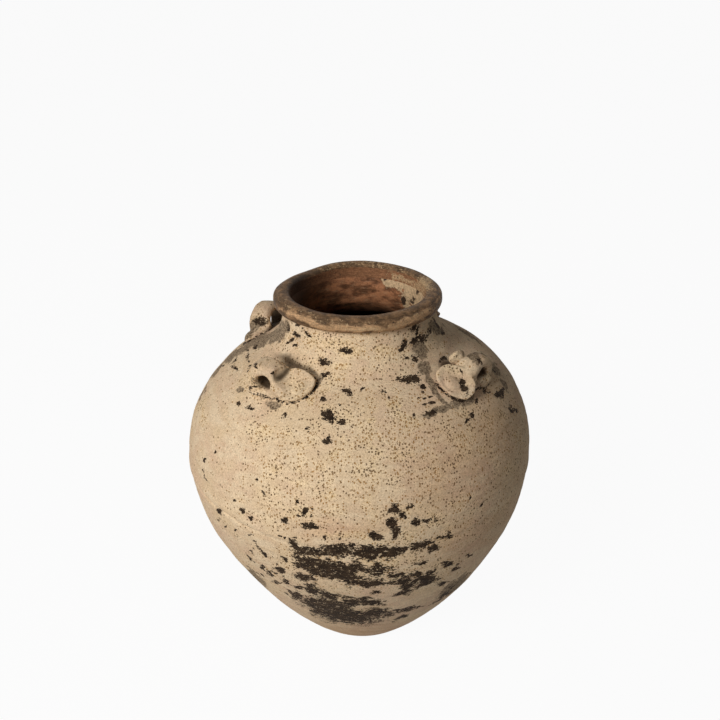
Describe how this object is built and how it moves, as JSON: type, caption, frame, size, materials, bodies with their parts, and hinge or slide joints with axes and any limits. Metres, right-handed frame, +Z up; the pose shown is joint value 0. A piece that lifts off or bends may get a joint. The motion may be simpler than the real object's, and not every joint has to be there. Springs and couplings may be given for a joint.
{
  "type": "storage jar",
  "caption": "Round-shouldered stoneware storage jar with a small flat base, short neck, rolled rim and cord lugs on the shoulder.",
  "frame": {"origin": "centre of the flat underside, on the jar's axis", "axes": "+Z up along the jar's axis; -Y is the front, midway between two of the lugs"},
  "size_m": [0.33, 0.33, 0.3685],
  "materials": {
    "slipped_clay": "matte",
    "rim_clay": "satin",
    "foot_clay": "matte"
  },
  "bodies": {
    "root": {"base_disc": "foot_clay", "lower_wall": "slipped_clay", "shoulder_wall": "slipped_clay", "neck_collar": "slipped_clay", "rolled_rim": "rim_clay", "lug_front_left": "slipped_clay", "lug_front_right": "slipped_clay", "lug_back_left": "slipped_clay", "lug_back_right": "slipped_clay"}
  },
  "joints": []
}
